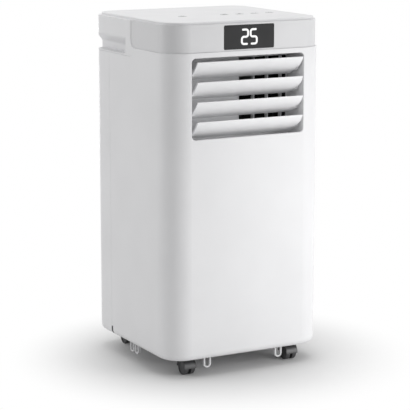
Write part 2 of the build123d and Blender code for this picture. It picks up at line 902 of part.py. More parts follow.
for name, fan_x, fan_z, fan_radius in (
    ("cold", cold_fan_x, cold_fan_z, cold_fan_radius),
    ("hot", hot_fan_x, hot_fan_z, hot_fan_radius),
):
    with BuildPart() as fan:
        # Back plate, then the ring of forward-curved blades and the ring that ties their free ends
        with BuildSketch(upright(fan_front_y)):
            with Locations((fan_x, fan_z)):
                Circle(fan_radius)
        extrude(amount=-fan_plate)
        with BuildSketch(upright(fan_front_y + fan_plate)):
            with Locations((fan_x, fan_z)):
                with PolarLocations(fan_radius - fan_blade_length / 2, fan_blade_count):
                    Rectangle(fan_blade_length, fan_blade_thickness, rotation=fan_blade_angle)
        extrude(amount=fan_front_y + fan_plate - fan_back_y)
        with BuildSketch(upright(fan_back_y)):
            with Locations((fan_x, fan_z)):
                Circle(fan_radius)
                Circle(fan_radius - fan_blade_length / 2, mode=Mode.SUBTRACT)
        extrude(amount=fan_plate)
        with BuildSketch(upright(fan_front_y)):
            with Locations((fan_x, fan_z)):
                Circle(fan_hub_radius)
        extrude(amount=(fan_front_y - fan_back_y) / 2)
        with BuildSketch(upright(fan_front_y)):
            with Locations((fan_x, fan_z)):
                Circle(fan_shaft_radius)
        extrude(amount=fan_front_y - shaft_front_y)
    save(fan, f"{name}_fan")
    with BuildPart() as motor:
        with BuildSketch(upright(motor_back_y)):
            with Locations((fan_x, fan_z)):
                Circle(motor_radius)
        extrude(amount=motor_length)
        fillet(motor.edges().sort_by(Axis.Y)[0], motor_round)
        with BuildSketch(upright(motor_back_y)):
            with Locations((fan_x, fan_z)):
                Circle(motor_radius)
                with PolarLocations(motor_radius, 4):
                    Circle(motor_flange)
                    Circle(screw_radius, mode=Mode.SUBTRACT)
        extrude(amount=motor_plate)
        with BuildSketch(upright(motor_back_y)):
            with Locations((fan_x, fan_z)):
                Circle(fan_shaft_radius + running_gap)
        extrude(amount=motor_back_y - shaft_front_y + fit, mode=Mode.SUBTRACT)
    save(motor, f"{name}_motor")

hood_front_y = duct_back_y + wall
hood_front_width = grille_width + 2 * fit
hood_front_height = grille_height + 2 * fit

with BuildPart() as outlet_hood:
    # Straight sleeve round the grille, then a taper to the scroll
    for grow, mode in ((hood_wall, Mode.ADD), (0, Mode.SUBTRACT)):
        with BuildSketch(upright(hood_front_y)):
            with Locations(grille_mid):
                Rectangle(hood_front_width + 2 * grow, hood_front_height + 2 * grow)
        extrude(amount=-grille_depth, mode=mode)
        with BuildSketch(upright(hood_front_y + grille_depth)):
            with Locations(grille_mid):
                Rectangle(hood_front_width + 2 * grow, hood_front_height + 2 * grow)
        with BuildSketch(upright(scroll_front_y)):
            with Locations(hood_window_mid):
                Rectangle(hood_window_width + 2 * grow, hood_window_height + 2 * grow)
        loft(mode=mode)
save(outlet_hood, "outlet_hood")

# Exhaust duct and the port in the rear cover

exhaust_left_x = port_x - port_radius - port_wall - wall
exhaust_right_x = hot_outlet_x
exhaust_width = exhaust_right_x - exhaust_left_x
exhaust_mid_x = (exhaust_left_x + exhaust_right_x) / 2
exhaust_back_y = rear_y - port_length - fit
exhaust_outlet_left = hot_outlet_x - hot_outlet + wall

with BuildPart() as exhaust_duct:
    with BuildSketch(upright(scroll_front_y)):
        with Locations((exhaust_mid_x, (duct_z + duct_roof_z) / 2)):
            Rectangle(exhaust_width, duct_roof_z - duct_z)
    extrude(amount=scroll_front_y - exhaust_back_y)
    fillet(exhaust_duct.edges().filter_by(Axis.X).group_by(Axis.Z)[-1].sort_by(Axis.Y)[0], exhaust_round)
    with BuildSketch(upright(scroll_front_y + wall)):
        with Locations((exhaust_mid_x, (duct_z + duct_roof_z) / 2)):
            Rectangle(exhaust_width - 2 * wall, duct_roof_z - duct_z - 2 * wall)
    extrude(amount=scroll_front_y + 2 * wall - exhaust_back_y, mode=Mode.SUBTRACT)
    # Slots in the rear wall keep fingers out of the port
    with BuildSketch(upright(exhaust_back_y)):
        with Locations((port_x, port_z)):
            with GridLocations(guard_slot_pitch, 0, guard_slot_count, 1):
                Rectangle(guard_slot, 2 * port_radius)
            Circle(port_radius - wall, mode=Mode.INTERSECT)
    extrude(amount=wall, mode=Mode.SUBTRACT)
    with BuildSketch(level(duct_z)):
        with Locations((exhaust_outlet_left, scroll_front_y + scroll_width / 2)):
            Rectangle(
                exhaust_right_x - wall - exhaust_outlet_left,
                scroll_width - 2 * wall,
                align=(Align.MIN, Align.CENTER),
            )
    extrude(amount=wall, mode=Mode.SUBTRACT)
save(exhaust_duct, "exhaust_duct")

with BuildPart() as exhaust_collar:
    with BuildSketch(upright(rear_y)):
        with Locations((port_x, port_z)):
            Circle(port_radius + port_wall)
    extrude(amount=port_length)
    with BuildSketch(upright(rear_y - wall - fit)):
        with Locations((port_x, port_z)):
            Circle(port_radius + port_wall + port_flange)
    extrude(amount=port_flange_thickness)
    with BuildSketch(upright(rear_y)):
        with Locations((port_x, port_z)):
            Circle(port_radius)
    extrude(amount=port_length, mode=Mode.SUBTRACT)
save(exhaust_collar, "exhaust_collar")

with BuildPart() as cord_gland:
    with BuildSketch(upright(rear_y)):
        with Locations((gland_x, gland_z)):
            Circle(gland_radius)
    extrude(amount=gland_length)
    with BuildSketch(upright(rear_y - wall - fit)):
        with Locations((gland_x, gland_z)):
            Circle(gland_radius + gland_flange)
    extrude(amount=wall)
    with BuildSketch(upright(rear_y)):
        with Locations((gland_x, gland_z)):
            Circle(gland_bore)
    extrude(amount=gland_length, mode=Mode.SUBTRACT)
save(cord_gland, "cord_gland")

with BuildPart() as cover_screws:
    with BuildSketch(upright(rear_y - screw_sink + screw_head_height)):
        with Locations(*screw_places):
            Circle(screw_head_radius)
    extrude(amount=screw_head_height)
    with BuildSketch(upright(rear_y - screw_sink)):
        with Locations(*screw_places):
            Circle(screw_radius)
    extrude(amount=screw_boss_length)
save(cover_screws, "cover_screws")

# Air intakes at the rear, each a frame of sloping slats


def intake_grille(window_z, window_height):
    """Framed grille that fills one rear window."""
    grille_w = window_width - 2 * grille_gap
    grille_h = window_height - 2 * grille_gap
    middle_z = window_z + window_height / 2
    slat_count = int((grille_h - 2 * grille_frame) / slat_pitch)
    with BuildPart() as grille:
        with BuildSketch(upright(rear_y)):
            with Locations((0, middle_z)):
                Rectangle(grille_w, grille_h)
                Rectangle(grille_w - 2 * grille_frame, grille_h - 2 * grille_frame, mode=Mode.SUBTRACT)
        extrude(amount=grille_thickness)
        with BuildSketch(sideways(grille_frame / 2 - grille_w / 2)):
            with Locations((rear_y - grille_thickness / 2, middle_z)):
                with GridLocations(0, slat_pitch, 1, slat_count):
                    Rectangle(slat_depth, slat_thickness, rotation=-slat_tilt)
        extrude(amount=grille_w - grille_frame)
        with BuildSketch(upright(rear_y - grille_thickness + slat_thickness)):
            with Locations((0, middle_z)):
                with GridLocations(grille_w / (grille_rib_count + 1), 0, grille_rib_count, 1):
                    Rectangle(slat_thickness, grille_h - grille_frame)
        extrude(amount=slat_thickness)
    return grille.part


upper_frame = intake_grille(upper_window_z, upper_window_height)
lower_frame = intake_grille(lower_window_z, lower_window_height)

with BuildPart() as upper_intake_grille:
    add(upper_frame)
    # Rounded lower edge and hinge pins
    fillet(upper_intake_grille.edges().filter_by(Axis.X).group_by(Axis.Z)[0], hinge_edge_round)
    for end in (-1, 1):
        with BuildSketch(sideways(end * (window_width / 2 - grille_gap - grille_frame / 2))):
            with Locations((hinge_y, hinge_z)):
                Circle(hinge_radius)
        extrude(amount=end * (grille_gap + grille_frame / 2 + wall))
    # Finger notch in the top edge
    with BuildSketch(upright(rear_y)):
        with Locations((0, upper_window_z + upper_window_height - grille_gap)):
            SlotOverall(notch_width, grille_frame)
    extrude(amount=grille_thickness / 2, mode=Mode.SUBTRACT)
save(upper_intake_grille, "upper_intake_grille")

with BuildPart() as lower_intake_grille:
    add(lower_frame)
    # End tabs that seat in the window
    for end in (-1, 1):
        with BuildSketch(upright(rear_y - grille_thickness / 2)):
            with Locations((end * (window_width / 2 - fit), lower_window_z + lower_window_height / 2)):
                Rectangle(
                    grille_frame,
                    seat_tab_length,
                    align=(Align.MAX if end > 0 else Align.MIN, Align.CENTER),
                )
        extrude(amount=grille_thickness / 2)
save(lower_intake_grille, "lower_intake_grille")

filter_width = window_width - 2 * filter_margin
filter_height = upper_window_height - 2 * filter_margin
filter_z = upper_window_z + upper_window_height / 2
filter_back_y = rear_y - grille_thickness

with BuildPart() as air_filter:
    with BuildSketch(upright(filter_back_y)):
        with Locations((0, filter_z)):
            Rectangle(filter_width, filter_height)
            Rectangle(filter_width - 2 * filter_frame, filter_height - 2 * filter_frame, mode=Mode.SUBTRACT)
            with GridLocations(filter_width / (filter_rib_count + 1), 0, filter_rib_count, 1):
                Rectangle(filter_frame / 3, filter_height - filter_frame)
    extrude(amount=filter_thickness)
    with BuildSketch(upright(filter_back_y - filter_thickness + filter_mesh)):
        with Locations((0, filter_z)):
            Rectangle(filter_width - filter_frame, filter_height - filter_frame)
    extrude(amount=filter_mesh)
save(air_filter, "air_filter")

# Heat exchangers: a finned block between two end plates, with hairpin bends at the right end


def coil(front, deep, floor_z, high, plate_floor_z):
    """Upright heat exchanger whose end plates reach down to their seat."""
    with BuildPart() as exchanger:
        with BuildSketch(upright(front)):
            with Locations((0, floor_z)):
                Rectangle(coil_width - 2 * coil_plate, high, align=(Align.CENTER, Align.MIN))
        extrude(amount=-deep)
        for end in (-1, 1):
            with BuildSketch(upright(front)):
                with Locations((end * (coil_width - coil_plate) / 2, plate_floor_z)):
                    Rectangle(coil_plate, floor_z + high - plate_floor_z, align=(Align.CENTER, Align.MIN))
            extrude(amount=-deep)
        bend_pitch = high / coil_bend_count
        for index in range(coil_bend_count):
            bend_z = floor_z + bend_pitch * (index + 0.5)
            with BuildSketch(sideways(coil_width / 2)):
                with Locations((front + deep / 2, bend_z + coil_bend_span / 2)):
                    Circle(coil_tube_radius)
            bend_axis = Axis((coil_width / 2, front + deep / 2, bend_z), (0, 1, 0))
            revolve(axis=bend_axis, revolution_arc=180)
    return exchanger.part


cold_coil_z = deck_top_z + cold_coil_foot
hot_coil_z = flange_z + wall
port_foot_z = port_z - port_radius - port_wall - port_flange
hot_coil_height = port_foot_z - hot_coil_gap - hot_coil_z

cold_block = coil(cold_coil_y, cold_coil_depth, cold_coil_z, cold_coil_height, deck_top_z)
hot_block = coil(hot_coil_y, hot_coil_depth, hot_coil_z, hot_coil_height, hot_coil_z)

with BuildPart() as cold_coil:
    add(cold_block)
save(cold_coil, "cold_coil")

with BuildPart() as hot_coil:
    add(hot_block)
save(hot_coil, "hot_coil")

# Base pan with its basin, castor sockets, compressor studs and drain spout

basin_floor_z = basin_z + basin_floor
basin_back_y = rear_y - basin_inset
castor_places = [(x, y) for y in (-castor_y, castor_y) for x in (-castor_x, castor_x)]
castor_names = ["front_left", "front_right", "rear_left", "rear_right"]
stud_places = [
    (
        compressor_x + foot_radius * cos(radians(90 + 120 * index)),
        compressor_y + foot_radius * sin(radians(90 + 120 * index)),
    )
    for index in range(3)
]

with BuildPart() as base_pan:
    with BuildSketch(level(basin_z)):
        add(cabinet_plan(basin_inset))
    extrude(amount=flange_z + wall - basin_z)
    with BuildSketch(level(flange_z)):
        add(cabinet_plan(seat_inset))
    extrude(amount=wall)
    with BuildSketch(level(flange_z)):
        add(cabinet_ring(seat_inset, seat_inset + wall))
    extrude(amount=pan_rim)
    with BuildSketch(level(basin_floor_z)):
        add(cabinet_plan(basin_inset + wall))
    extrude(amount=flange_z, mode=Mode.SUBTRACT)
    with BuildSketch(level(basin_z)):
        with Locations(*castor_places):
            Circle(socket_radius)
    extrude(amount=socket_height)
    with BuildSketch(level(basin_z)):
        with Locations(*castor_places):
            Circle(stem_radius + running_gap)
    extrude(amount=socket_height, mode=Mode.SUBTRACT)
    with BuildSketch(level(basin_floor_z)):
        with Locations(*stud_places):
            Circle(stud_radius)
    extrude(amount=stud_height)
    with BuildSketch(upright(basin_back_y - wall)):
        with Locations((drain_x, drain_z)):
            Circle(drain_radius)
    extrude(amount=-wall - drain_reach)
    with BuildSketch(upright(basin_back_y - wall)):
        with Locations((drain_x, drain_z)):
            Circle(drain_bore)
    extrude(amount=-wall - drain_reach, mode=Mode.SUBTRACT)
save(base_pan, "base_pan")

drain_end_y = basin_back_y + drain_reach

with BuildPart() as drain_plug:
    with BuildSketch(upright(drain_end_y + fit + plug_head)):
        with Locations((drain_x, drain_z)):
            Circle(drain_radius - fit)
    extrude(amount=plug_head)
    with BuildSketch(upright(drain_end_y + fit)):
        with Locations((drain_x, drain_z)):
            Circle(drain_bore - running_gap)
    extrude(amount=plug_depth)
save(drain_plug, "drain_plug")

# Small U-shaped loops that hang from the pan just behind the skirt, at the front and the sides


def loop_profile():
    """U of round-bottomed wire, drawn down from its seat on the pan's flange."""
    drop = flange_z - loop_foot_z
    with BuildSketch() as profile:
        for outer, mode in ((loop_width, Mode.ADD), (loop_width - 2 * loop_wire, Mode.SUBTRACT)):
            with Locations((0, loop_width / 2 - drop)):
                Circle(outer / 2, mode=mode)
                Rectangle(outer, drop, align=(Align.CENTER, Align.MIN), mode=mode)
        with Locations((0, 0)):
            Rectangle(2 * loop_width, 2 * drop, align=(Align.CENTER, Align.MIN), mode=Mode.SUBTRACT)
    return profile.sketch


loop_inset = skirt_lip + fit

with BuildPart() as base_loops:
    for loop_x in (front_loop_left_x, front_loop_right_x):
        with BuildSketch(upright(front_y + loop_inset)):
            with Locations((loop_x, flange_z)):
                add(loop_profile())
        extrude(amount=-loop_depth)
    for side in (-1, 1):
        for loop_y in (side_loop_y - side_loop_pitch / 2, side_loop_y + side_loop_pitch / 2):
            with BuildSketch(sideways(side * (side_x - loop_inset))):
                with Locations((loop_y, flange_z)):
                    add(loop_profile())
            extrude(amount=-side * loop_depth)
save(base_loops, "base_loops")

# Twin-wheel castors: a hood on a stem, and two wheels fixed to one axle

hood_radius = wheel_radius + hood_gap
hood_outer = hood_radius + hood_thickness
castor_half = web_thickness / 2 + wheel_side_gap + wheel_width
hood_half = castor_half + wheel_side_gap
hood_top_z = basin_z - fit

for name, (stem_x, stem_y) in zip(castor_names, castor_places):
    axle_y = stem_y + (castor_trail if stem_y > 0 else -castor_trail)
    with BuildPart() as castor_hood:
        with BuildSketch(sideways(stem_x - hood_half)):
            with Locations((axle_y, wheel_radius)):
                Circle(hood_outer)
                Rectangle(2 * hood_outer, hood_outer, align=(Align.CENTER, Align.MIN), mode=Mode.INTERSECT)
        extrude(amount=2 * hood_half)
        with BuildSketch(level(wheel_radius)):
            with Locations((stem_x, stem_y)):
                Circle(stem_boss_radius)
        extrude(amount=hood_top_z - wheel_radius)
        with BuildSketch(sideways(stem_x - hood_half)):
            with Locations((axle_y, wheel_radius)):
                Circle(hood_radius)
        extrude(amount=2 * hood_half, mode=Mode.SUBTRACT)
        # Web between the wheels, and the stem
        with BuildSketch(sideways(stem_x - web_thickness / 2)):
            with Locations((axle_y, wheel_radius)):
                Circle(hood_radius)
                Rectangle(2 * hood_radius, hood_radius, align=(Align.CENTER, Align.MIN), mode=Mode.INTERSECT)
                Circle(stem_boss_radius)
                Circle(axle_radius + running_gap, mode=Mode.SUBTRACT)
        extrude(amount=web_thickness)
        with BuildSketch(level(hood_top_z)):
            with Locations((stem_x, stem_y)):
                Circle(stem_radius)
        extrude(amount=socket_height + fit)
    save(castor_hood, f"castor_hood_{name}")
    with BuildPart() as castor_wheels:
        for side in (-1, 1):
            inner_x = stem_x + side * (web_thickness / 2 + wheel_side_gap)
            with BuildSketch(sideways(inner_x)):
                with Locations((axle_y, wheel_radius)):
                    Circle(wheel_radius)
            extrude(amount=side * wheel_width)
            outer_edges = castor_wheels.edges().filter_by(GeomType.CIRCLE).sort_by(Axis.X)
            fillet(outer_edges[-1] if side > 0 else outer_edges[0], wheel_round)
            with BuildSketch(sideways(inner_x + side * wheel_width)):
                with Locations((axle_y, wheel_radius)):
                    Circle(wheel_radius - wheel_rim)
            extrude(amount=-side * wheel_dish, mode=Mode.SUBTRACT)
        with BuildSketch(sideways(stem_x - web_thickness / 2 - wheel_side_gap)):
            with Locations((axle_y, wheel_radius)):
                Circle(axle_radius)
        extrude(amount=web_thickness + 2 * wheel_side_gap)
    save(castor_wheels, f"castor_wheels_{name}")

# Deck, its columns and the refrigeration circuit

cold_pipe_y = cold_coil_y + cold_coil_depth / 2
hot_pipe_y = hot_coil_y + hot_coil_depth / 2
liquid_pipe_y = (cold_coil_y + cold_coil_depth + hot_coil_y) / 2

with BuildPart() as deck:
    with BuildSketch(level(deck_z)):
        add(cabinet_plan(seat_inset))
    extrude(amount=wall)
    with BuildSketch(level(deck_z)):
        add(cabinet_ring(seat_inset, seat_inset + wall))
    extrude(amount=deck_rim)
    with BuildSketch(level(deck_z)):
        with Locations((cold_pipe_x, cold_pipe_y), (liquid_pipe_x, liquid_pipe_y)):
            Circle(pipe_radius + pipe_hole)
    extrude(amount=wall, mode=Mode.SUBTRACT)
save(deck, "deck")

with BuildPart() as deck_columns:
    for column_y in (column_front_y, column_rear_y):
        for side in (-1, 1):
            with BuildSketch(level(flange_z + wall)):
                with Locations((side * (side_x - column_inset), column_y)):
                    Rectangle(column_size, column_size)
                hollow_x = side * (side_x - column_inset - column_thickness)
                with Locations((hollow_x, column_y + column_thickness)):
                    Rectangle(column_size, column_size, mode=Mode.SUBTRACT)
            extrude(amount=deck_z - flange_z - wall)
save(deck_columns, "deck_columns")

foot_z = basin_floor_z + grommet_height
tank_x = compressor_x + compressor_radius + tank_gap + tank_radius
hot_pipe_x = compressor_x - hot_pipe_offset
tank_strap_z = tank_z + tank_height / 2

with BuildPart() as compressor:
    with BuildSketch(level(foot_z)):
        with Locations((compressor_x, compressor_y)):
            Circle(compressor_radius)
    extrude(amount=compressor_height)
    fillet(compressor.edges().group_by(Axis.Z)[-1], compressor_dome)
    with BuildSketch(level(foot_z)):
        with Locations(*stud_places):
            Circle(foot_lobe)
        make_hull()
        with Locations(*stud_places):
            Circle(stud_radius + fit, mode=Mode.SUBTRACT)
    extrude(amount=foot_plate)
    # Suction tank strapped to the side of the compressor
    with BuildSketch(level(tank_z)):
        with Locations((tank_x, compressor_y)):
            Circle(tank_radius)
    extrude(amount=tank_height)
    with BuildSketch(level(tank_strap_z)):
        with Locations(((compressor_x + tank_x) / 2, compressor_y)):
            Rectangle(tank_x - compressor_x, tank_strap)
    extrude(amount=tank_strap / 2)
save(compressor, "compressor")

with BuildPart() as compressor_grommets:
    with BuildSketch(level(basin_floor_z)):
        with Locations(*stud_places):
            Circle(grommet_radius)
            Circle(stud_radius + fit, mode=Mode.SUBTRACT)
    extrude(amount=grommet_height)
save(compressor_grommets, "compressor_grommets")


def pipe(points):
    """Copper pipe along a route of straight runs and rounded bends."""
    with BuildPart() as tube:
        with BuildLine() as route:
            FilletPolyline(*points, radius=pipe_bend)
        start = Plane(origin=route.line @ 0, z_dir=route.line % 0)
        with BuildSketch(start):
            Circle(pipe_radius)
            Circle(pipe_bore, mode=Mode.SUBTRACT)
        sweep()
    return tube.part


compressor_top_z = foot_z + compressor_height
tank_top_z = tank_z + tank_height
hot_coil_top_z = hot_coil_z + hot_coil_height

discharge_run = pipe(
    [
        (hot_pipe_x, compressor_y, compressor_top_z),
        (hot_pipe_x, compressor_y, hot_pipe_z),
        (hot_pipe_x, hot_pipe_y, hot_pipe_z),
        (hot_pipe_x, hot_pipe_y, hot_coil_top_z),
    ]
)

with BuildPart() as discharge_pipe:
    add(discharge_run)
save(discharge_pipe, "discharge_pipe")

suction_run = pipe(
    [
        (tank_x, compressor_y, tank_top_z),
        (tank_x, compressor_y, cold_pipe_z),
        (cold_pipe_x, compressor_y, cold_pipe_z),
        (cold_pipe_x, cold_pipe_y, cold_pipe_z),
        (cold_pipe_x, cold_pipe_y, cold_coil_z),
    ]
)

with BuildPart() as suction_pipe:
    add(suction_run)
save(suction_pipe, "suction_pipe")

with BuildPart() as liquid_pipe:
    with BuildSketch(level(hot_coil_top_z)):
        with Locations((liquid_pipe_x, liquid_pipe_y)):
            Circle(pipe_radius)
    extrude(amount=cold_coil_z - hot_coil_top_z)
    # Filter drier half way up
    with BuildSketch(level((hot_coil_top_z + deck_z - drier_length) / 2)):
        with Locations((liquid_pipe_x, liquid_pipe_y)):
            Circle(drier_radius)
    extrude(amount=drier_length)
    rims = liquid_pipe.edges().filter_by(GeomType.CIRCLE)
    chamfer(rims.filter_by(lambda edge: edge.radius > pipe_radius), drier_taper)
save(liquid_pipe, "liquid_pipe")

# Electrics box with the main board, and the condensate pump

with BuildPart() as control_box:
    with BuildSketch(level(box_z)):
        with Locations((box_x, box_y)):
            Rectangle(box_width, box_depth, align=(Align.MIN, Align.MIN))
    extrude(amount=box_height)
    offset(amount=-wall, openings=control_box.faces().sort_by(Axis.Y)[-1])
    # Legs that stand in the basin
    for leg_x in (box_x, box_x + box_width - box_foot):
        with BuildSketch(level(basin_floor_z)):
            with Locations((leg_x, box_y + box_depth / 2)):
                Rectangle(box_foot, wall, align=(Align.MIN, Align.CENTER))
        extrude(amount=box_z - basin_floor_z)
save(control_box, "control_box")

board_front_y = box_y + wall + board_gap

with BuildPart() as main_board:
    with BuildSketch(upright(board_front_y)):
        with Locations((box_x + box_width / 2, box_z + box_height / 2)):
            Rectangle(box_width - 2 * wall - 2 * fit, box_height - 2 * wall - 2 * fit)
    extrude(amount=-board_thickness)
    # Capacitor, relay and transformer
    with BuildSketch(upright(board_front_y + board_thickness)):
        with Locations((box_x + box_width / 2, box_z + box_height / 2 + component_pitch)):
            Circle(capacitor_radius)
        with Locations((box_x + box_width / 2, box_z + box_height / 2)):
            Rectangle(relay_width, relay_height)
        with Locations((box_x + box_width / 2, box_z + box_height / 2 - component_pitch)):
            Rectangle(transformer_size, transformer_size)
    extrude(amount=-component_depth)
save(main_board, "main_board")

with BuildPart() as condensate_pump:
    with BuildSketch(level(basin_floor_z)):
        with Locations((pump_x, pump_y)):
            Circle(pump_radius)
    extrude(amount=pump_height)
    fillet(condensate_pump.edges().group_by(Axis.Z)[-1], pump_round)
    with BuildSketch(level(basin_floor_z + pump_height)):
        with Locations((pump_x, pump_y)):
            Circle(pipe_radius)
            Circle(pipe_bore, mode=Mode.SUBTRACT)
    extrude(amount=pump_outlet)
save(condensate_pump, "condensate_pump")
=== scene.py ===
import json
import math

import bmesh
import bpy
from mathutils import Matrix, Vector


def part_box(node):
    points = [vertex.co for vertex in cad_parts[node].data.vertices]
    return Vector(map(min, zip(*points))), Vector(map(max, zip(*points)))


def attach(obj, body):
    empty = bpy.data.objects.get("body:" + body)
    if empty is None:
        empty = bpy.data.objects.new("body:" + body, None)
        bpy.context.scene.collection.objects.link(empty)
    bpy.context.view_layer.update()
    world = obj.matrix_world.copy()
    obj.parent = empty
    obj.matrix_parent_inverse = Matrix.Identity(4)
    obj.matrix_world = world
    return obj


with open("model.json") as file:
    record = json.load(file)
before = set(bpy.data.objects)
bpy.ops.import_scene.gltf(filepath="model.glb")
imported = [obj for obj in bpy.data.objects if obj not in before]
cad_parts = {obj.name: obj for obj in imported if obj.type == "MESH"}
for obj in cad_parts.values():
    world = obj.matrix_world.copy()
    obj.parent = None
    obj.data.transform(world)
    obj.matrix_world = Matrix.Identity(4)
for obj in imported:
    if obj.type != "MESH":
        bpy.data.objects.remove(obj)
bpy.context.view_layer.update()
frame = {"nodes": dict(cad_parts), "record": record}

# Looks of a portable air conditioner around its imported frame, in metres

MM = 0.001
scene = bpy.context.scene


# Helpers for materials

# Most values of a noise texture lie between these two
NOISE_LOW = 0.3
NOISE_HIGH = 0.7

# Sockets of a mix node that mixes colours
MIX_FACTOR = 0
MIX_FIRST = 6
MIX_SECOND = 7
MIX_RESULT = 2


def new_material(name):
    """Empty node material with its shader and output."""
    material = bpy.data.materials.new(name)
    material.use_nodes = True
    tree = material.node_tree
    tree.nodes.clear()
    output = tree.nodes.new("ShaderNodeOutputMaterial")
    shader = tree.nodes.new("ShaderNodeBsdfPrincipled")
    tree.links.new(shader.outputs["BSDF"], output.inputs["Surface"])
    return material, tree, shader


def noise(tree, scale, detail=3.0):
    """Noise in the object's own metres."""
    place = tree.nodes.new("ShaderNodeTexCoord")
    texture = tree.nodes.new("ShaderNodeTexNoise")
    texture.inputs["Scale"].default_value = scale
    texture.inputs["Detail"].default_value = detail
    tree.links.new(place.outputs["Object"], texture.inputs["Vector"])
    return texture.outputs["Fac"]


def ranged(tree, value, low, high):
    """A noise value spread over low to high."""
    spread = tree.nodes.new("ShaderNodeMapRange")
    spread.inputs["From Min"].default_value = NOISE_LOW
    spread.inputs["From Max"].default_value = NOISE_HIGH
    spread.inputs["To Min"].default_value = low
    spread.inputs["To Max"].default_value = high
    tree.links.new(value, spread.inputs["Value"])
    return spread.outputs["Result"]


def mixed(tree, value, first, second):
    """Colour between first and second."""
    mix = tree.nodes.new("ShaderNodeMix")
    mix.data_type = "RGBA"
    mix.inputs[MIX_FIRST].default_value = (*first, 1)
    mix.inputs[MIX_SECOND].default_value = (*second, 1)
    tree.links.new(value, mix.inputs[MIX_FACTOR])
    return mix.outputs[MIX_RESULT]


def calculated(tree, operation, first, second):
    """Result of a math node on two values, each a socket or a number."""
    step = tree.nodes.new("ShaderNodeMath")
    step.operation = operation
    for socket, value in zip(step.inputs, (first, second)):
        if isinstance(value, (int, float)):
            socket.default_value = value
        else:
            tree.links.new(value, socket)
    return step.outputs["Value"]


def bumped(tree, shader, height, strength, distance):
    """Raise the surface by a height value."""
    bump = tree.nodes.new("ShaderNodeBump")
    bump.inputs["Strength"].default_value = strength
    bump.inputs["Distance"].default_value = distance
    tree.links.new(height, bump.inputs["Height"])
    tree.links.new(bump.outputs["Normal"], shader.inputs["Normal"])


# Kinds of material

GLOSS_DRIFT = 0.05
GLOSS_FINENESS = 4
GRAIN_DETAIL = 2.0
COAT_ROUGHNESS = 0.08


def surface(name, colour, rough, vary=0.02, vary_scale=9.0, grain=1500.0, grain_strength=0.12,
            grain_depth=0.08 * MM, metal=0.0, coat=0.0, specular=0.5):
    """Moulded or sheet surface: slow tone drift, uneven gloss and a fine grain."""
    material, tree, shader = new_material(name)
    shader.inputs["Metallic"].default_value = metal
    shader.inputs["Specular IOR Level"].default_value = specular
    if coat:
        shader.inputs["Coat Weight"].default_value = coat
        shader.inputs["Coat Roughness"].default_value = COAT_ROUGHNESS
    drift = ranged(tree, noise(tree, vary_scale), 0, 1)
    darker = tuple(channel * (1 - vary) for channel in colour)
    lighter = tuple(min(1, channel * (1 + vary)) for channel in colour)
    tree.links.new(mixed(tree, drift, darker, lighter), shader.inputs["Base Color"])
    patches = noise(tree, GLOSS_FINENESS * vary_scale)
    gloss = ranged(tree, patches, rough - GLOSS_DRIFT, rough + GLOSS_DRIFT)
    tree.links.new(gloss, shader.inputs["Roughness"])
    bumped(tree, shader, noise(tree, grain, GRAIN_DETAIL), grain_strength, grain_depth)
    return material


FIN_SHARE = 0.6
FIN_FLAT = 0.8
FIN_BUMP = 0.5
FIN_DEPTH = 0.6 * MM


def striped(name, colour, gap_shade_colour, pitch, axes, rough, metal):
    """Thin fins along one axis, or threads along two, with painted shade in the dark gaps between them.
    """
    material, tree, shader = new_material(name)
    shader.inputs["Metallic"].default_value = metal
    shader.inputs["Roughness"].default_value = rough
    place = tree.nodes.new("ShaderNodeTexCoord")
    split = tree.nodes.new("ShaderNodeSeparateXYZ")
    tree.links.new(place.outputs["Object"], split.inputs["Vector"])
    half_fin = FIN_SHARE * pitch / 2
    gaps = []
    for letter in axes:
        edge = tree.nodes.new("ShaderNodeMapRange")
        edge.inputs["From Min"].default_value = FIN_FLAT * half_fin
        edge.inputs["From Max"].default_value = half_fin
        from_middle = calculated(tree, "PINGPONG", split.outputs[letter], pitch / 2)
        tree.links.new(from_middle, edge.inputs["Value"])
        gaps.append(edge.outputs["Result"])
    gap = gaps[0]
    for other in gaps[1:]:
        gap = calculated(tree, "MINIMUM", gap, other)
    # Dark gap colour: painted shade between the fins or threads
    tree.links.new(mixed(tree, gap, colour, gap_shade_colour), shader.inputs["Base Color"])
    bumped(tree, shader, calculated(tree, "SUBTRACT", 1.0, gap), FIN_BUMP, FIN_DEPTH)
    return material


BOARD_COLOURS = {
    "Color1": (0.02, 0.13, 0.05, 1),
    "Color2": (0.025, 0.17, 0.07, 1),
    "Mortar": (0.09, 0.30, 0.12, 1),
}
TRACK_SCALE = 160.0
TRACK_WIDTH = 0.06
TRACK_BUMP = 0.2
TRACK_DEPTH = 0.2 * MM
BOARD_PATCHES = 60
BOARD_GLOSS = (0.3, 0.5)


def circuit(name):
    """Coated board with copper tracks under the coat."""
    material, tree, shader = new_material(name)
    place = tree.nodes.new("ShaderNodeTexCoord")
    bricks = tree.nodes.new("ShaderNodeTexBrick")
    for socket, colour in BOARD_COLOURS.items():
        bricks.inputs[socket].default_value = colour
    bricks.inputs["Scale"].default_value = TRACK_SCALE
    bricks.inputs["Mortar Size"].default_value = TRACK_WIDTH
    tree.links.new(place.outputs["Object"], bricks.inputs["Vector"])
    tree.links.new(bricks.outputs["Color"], shader.inputs["Base Color"])
    gloss = ranged(tree, noise(tree, BOARD_PATCHES), *BOARD_GLOSS)
    tree.links.new(gloss, shader.inputs["Roughness"])
    bumped(tree, shader, bricks.outputs["Fac"], TRACK_BUMP, TRACK_DEPTH)
    return material


GLOW_PATCHES = 300
GLOW_DRIFT = 0.03
UNLIT_TONE = (0.03, 0.03, 0.03, 1)


def glow(name, colour, strength):
    """Lit segment of a display."""
    material, tree, shader = new_material(name)
    shader.inputs["Base Color"].default_value = UNLIT_TONE
    shader.inputs["Emission Color"].default_value = (*colour, 1)
    patches = noise(tree, GLOW_PATCHES)
    level = ranged(tree, patches, strength * (1 - GLOW_DRIFT), strength * (1 + GLOW_DRIFT))
    tree.links.new(level, shader.inputs["Emission Strength"])
    return material


# Finish of each material slot in the record

